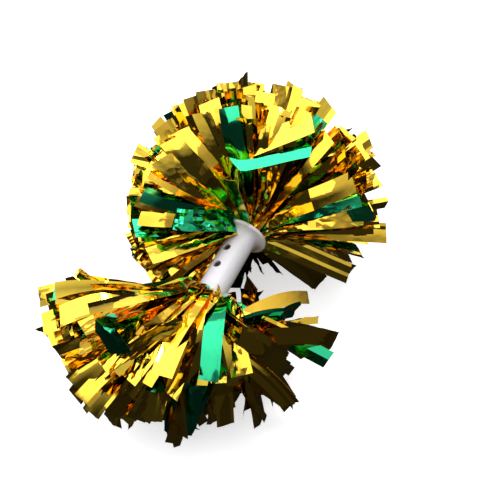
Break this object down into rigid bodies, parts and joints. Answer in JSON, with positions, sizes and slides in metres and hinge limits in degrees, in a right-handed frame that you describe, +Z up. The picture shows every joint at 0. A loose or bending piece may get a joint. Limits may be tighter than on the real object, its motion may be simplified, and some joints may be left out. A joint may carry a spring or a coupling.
{
  "type": "cheer pom pom",
  "caption": "Straight-handled cheer pom: a white flanged tube grip with a full tassel of gold and green metallised film strips tied into the mouth at each end.",
  "frame": {"origin": "on the resting plane, under the middle of the whole pom, 11 mm from the middle of the handle towards the upper tassel", "axes": "X along the handle, +X towards the upper tassel, the one beyond the end nearest the side holes; +Z up from the resting plane; the side holes lean from +Z towards +Y"},
  "size_m": [0.3679, 0.2511, 0.2159],
  "materials": {
    "handle_plastic": "moulded white plastic, soft gloss, faintly translucent",
    "cord": "twisted white cord",
    "strap_plastic": "natural white nylon locking strap",
    "gold_film": "mirror-bright metallised film, creased",
    "green_film": "mirror-bright metallised film, creased"
  },
  "bodies": {
    "handle": {"handle_tube": "handle_plastic", "tie_cord": "cord"},
    "upper_cord_end": {"upper_cord_knot": "cord"},
    "upper_tassel": {"upper_root": "gold_film", "upper_root_strap": "strap_plastic", "upper_skirt_hank_1": "gold_film", "upper_skirt_hank_2": "green_film", "upper_skirt_hank_3": "gold_film", "upper_skirt_hank_4": "gold_film", "upper_skirt_hank_5": "gold_film", "upper_skirt_hank_6": "green_film", "upper_skirt_hank_7": "gold_film", "upper_skirt_hank_8": "gold_film", "upper_crown_hank_1": "gold_film", "upper_crown_hank_2": "gold_film", "upper_crown_hank_3": "gold_film", "upper_crown_hank_4": "green_film", "upper_crown_hank_5": "gold_film"},
    "lower_cord_end": {"lower_cord_knot": "cord"},
    "lower_tassel": {"lower_root": "gold_film", "lower_root_strap": "strap_plastic", "lower_skirt_hank_1": "gold_film", "lower_skirt_hank_2": "green_film", "lower_skirt_hank_3": "gold_film", "lower_skirt_hank_4": "gold_film", "lower_skirt_hank_5": "gold_film", "lower_skirt_hank_6": "green_film", "lower_skirt_hank_7": "gold_film", "lower_skirt_hank_8": "gold_film", "lower_crown_hank_1": "gold_film", "lower_crown_hank_2": "gold_film", "lower_crown_hank_3": "gold_film", "lower_crown_hank_4": "green_film", "lower_crown_hank_5": "gold_film"}
  },
  "joints": [
    {"name": "upper_twist", "type": "hinge", "parent": "handle", "child": "upper_cord_end", "pos_m": [0.026, 0, 0.104], "axis": [1, 0, 0], "range_deg": [-20, 20], "stiffness_Nm_per_rad": 0.02},
    {"name": "upper_sway", "type": "hinge", "parent": "upper_cord_end", "child": "upper_tassel", "pos_m": [0.026, 0, 0.104], "axis": [0, 0, 1], "range_deg": [-8, 8], "stiffness_Nm_per_rad": 0.05},
    {"name": "lower_twist", "type": "hinge", "parent": "handle", "child": "lower_cord_end", "pos_m": [-0.048, 0, 0.104], "axis": [-1, 0, 0], "range_deg": [-20, 20], "stiffness_Nm_per_rad": 0.02},
    {"name": "lower_sway", "type": "hinge", "parent": "lower_cord_end", "child": "lower_tassel", "pos_m": [-0.048, 0, 0.104], "axis": [0, 0, 1], "range_deg": [-8, 8], "stiffness_Nm_per_rad": 0.05}
  ]
}
